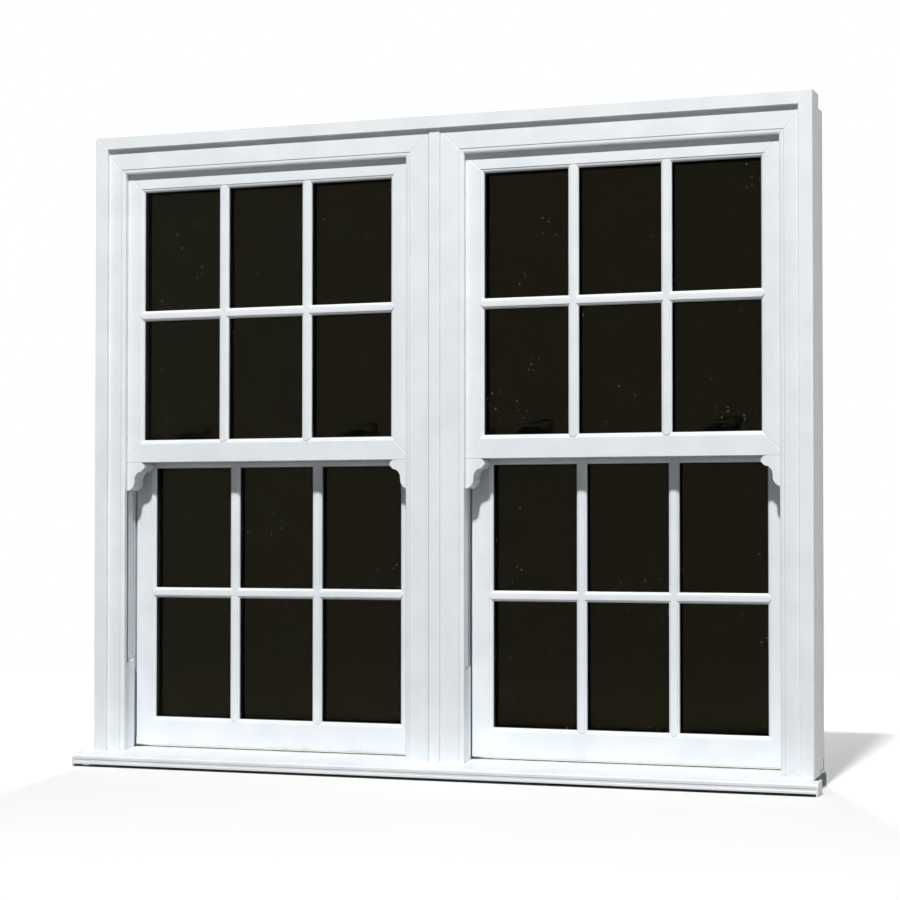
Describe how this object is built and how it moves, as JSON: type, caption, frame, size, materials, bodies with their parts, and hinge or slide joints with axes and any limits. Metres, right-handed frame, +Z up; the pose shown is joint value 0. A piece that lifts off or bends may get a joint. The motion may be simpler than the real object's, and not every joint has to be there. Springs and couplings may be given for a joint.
{
  "type": "sash window",
  "caption": "Coupled vertical sliding sash window in white moulded frames, with glazing bars, sash horns, a sloped sill, brass claw fasteners, lifts and sprung tilt latches.",
  "frame": {"origin": "on the base of the sill, in the middle of the coupler, in the plane of the frames' outdoor face", "axes": "+X to the right seen from outdoors, +Y indoors, +Z up"},
  "size_m": [1.6774, 0.2205, 1.4292],
  "materials": {
    "upvc": "satin white, extruded and welded",
    "glass": "clear float glass",
    "spacer": "dark warm-edge spacer",
    "brass": "polished",
    "nylon": "moulded white",
    "aluminium": "mill finish tube",
    "pile": "woven brush pile"
  },
  "bodies": {
    "frame": {"sill": "upvc", "sill_end_caps": "upvc", "left_jamb_outer": "upvc", "left_jamb_inner": "upvc", "right_jamb_inner": "upvc", "right_jamb_outer": "upvc", "left_head": "upvc", "right_head": "upvc", "frame_coupler": "upvc", "trim_head": "upvc", "trim_sides": "upvc", "track_stops": "upvc", "balance_tubes": "aluminium", "brush_seals": "pile"},
    "left_upper": {"left_upper_sash": "upvc", "left_upper_panes": "glass", "left_upper_spacer": "spacer", "left_upper_glazing_bars": "upvc", "left_upper_beads": "upvc", "left_upper_balance_shoes": "nylon", "left_upper_horns": "upvc", "left_upper_ledge": "upvc", "left_upper_keeps": "brass"},
    "left_lower": {"left_lower_sash": "upvc", "left_lower_panes": "glass", "left_lower_spacer": "spacer", "left_lower_glazing_bars": "upvc", "left_lower_beads": "upvc", "left_lower_balance_shoes": "nylon", "left_lower_lip": "upvc", "left_lower_lifts": "brass", "left_lock_bases": "brass", "left_latch_housings": "nylon"},
    "left_claw_left": {"left_claw_left": "brass"},
    "left_latch_bolt_left": {"left_latch_bolt_left": "nylon"},
    "left_claw_right": {"left_claw_right": "brass"},
    "left_latch_bolt_right": {"left_latch_bolt_right": "nylon"},
    "right_upper": {"right_upper_sash": "upvc", "right_upper_panes": "glass", "right_upper_spacer": "spacer", "right_upper_glazing_bars": "upvc", "right_upper_beads": "upvc", "right_upper_balance_shoes": "nylon", "right_upper_horns": "upvc", "right_upper_ledge": "upvc", "right_upper_keeps": "brass"},
    "right_lower": {"right_lower_sash": "upvc", "right_lower_panes": "glass", "right_lower_spacer": "spacer", "right_lower_glazing_bars": "upvc", "right_lower_beads": "upvc", "right_lower_balance_shoes": "nylon", "right_lower_lip": "upvc", "right_lower_lifts": "brass", "right_lock_bases": "brass", "right_latch_housings": "nylon"},
    "right_claw_left": {"right_claw_left": "brass"},
    "right_latch_bolt_left": {"right_latch_bolt_left": "nylon"},
    "right_claw_right": {"right_claw_right": "brass"},
    "right_latch_bolt_right": {"right_latch_bolt_right": "nylon"}
  },
  "joints": [
    {"name": "left_upper_slide", "type": "slide", "parent": "frame", "child": "left_upper", "axis": [0, 0, -1], "range_m": [0, 0.38]},
    {"name": "left_lower_slide", "type": "slide", "parent": "frame", "child": "left_lower", "axis": [0, 0, 1], "range_m": [0, 0.56]},
    {"name": "left_claw_left_turn", "type": "hinge", "parent": "left_lower", "child": "left_claw_left", "pos_m": [-0.58285, 0.0913, 0.746], "axis": [0, 0, 1], "range_deg": [-180, 0]},
    {"name": "left_latch_bolt_left_slide", "type": "slide", "parent": "left_lower", "child": "left_latch_bolt_left", "axis": [1, 0, 0], "range_m": [0, 0.012], "stiffness_N_per_m": 200, "springref_m": -0.01},
    {"name": "left_claw_right_turn", "type": "hinge", "parent": "left_lower", "child": "left_claw_right", "pos_m": [-0.17285, 0.0913, 0.746], "axis": [0, 0, 1], "range_deg": [-180, 0]},
    {"name": "left_latch_bolt_right_slide", "type": "slide", "parent": "left_lower", "child": "left_latch_bolt_right", "axis": [-1, 0, 0], "range_m": [0, 0.012], "stiffness_N_per_m": 200, "springref_m": -0.01},
    {"name": "right_upper_slide", "type": "slide", "parent": "frame", "child": "right_upper", "axis": [0, 0, -1], "range_m": [0, 0.38]},
    {"name": "right_lower_slide", "type": "slide", "parent": "frame", "child": "right_lower", "axis": [0, 0, 1], "range_m": [0, 0.56]},
    {"name": "right_claw_left_turn", "type": "hinge", "parent": "right_lower", "child": "right_claw_left", "pos_m": [0.23285, 0.0913, 0.746], "axis": [0, 0, 1], "range_deg": [-180, 0]},
    {"name": "right_latch_bolt_left_slide", "type": "slide", "parent": "right_lower", "child": "right_latch_bolt_left", "axis": [1, 0, 0], "range_m": [0, 0.012], "stiffness_N_per_m": 200, "springref_m": -0.01},
    {"name": "right_claw_right_turn", "type": "hinge", "parent": "right_lower", "child": "right_claw_right", "pos_m": [0.64285, 0.0913, 0.746], "axis": [0, 0, 1], "range_deg": [-180, 0]},
    {"name": "right_latch_bolt_right_slide", "type": "slide", "parent": "right_lower", "child": "right_latch_bolt_right", "axis": [-1, 0, 0], "range_m": [0, 0.012], "stiffness_N_per_m": 200, "springref_m": -0.01}
  ]
}
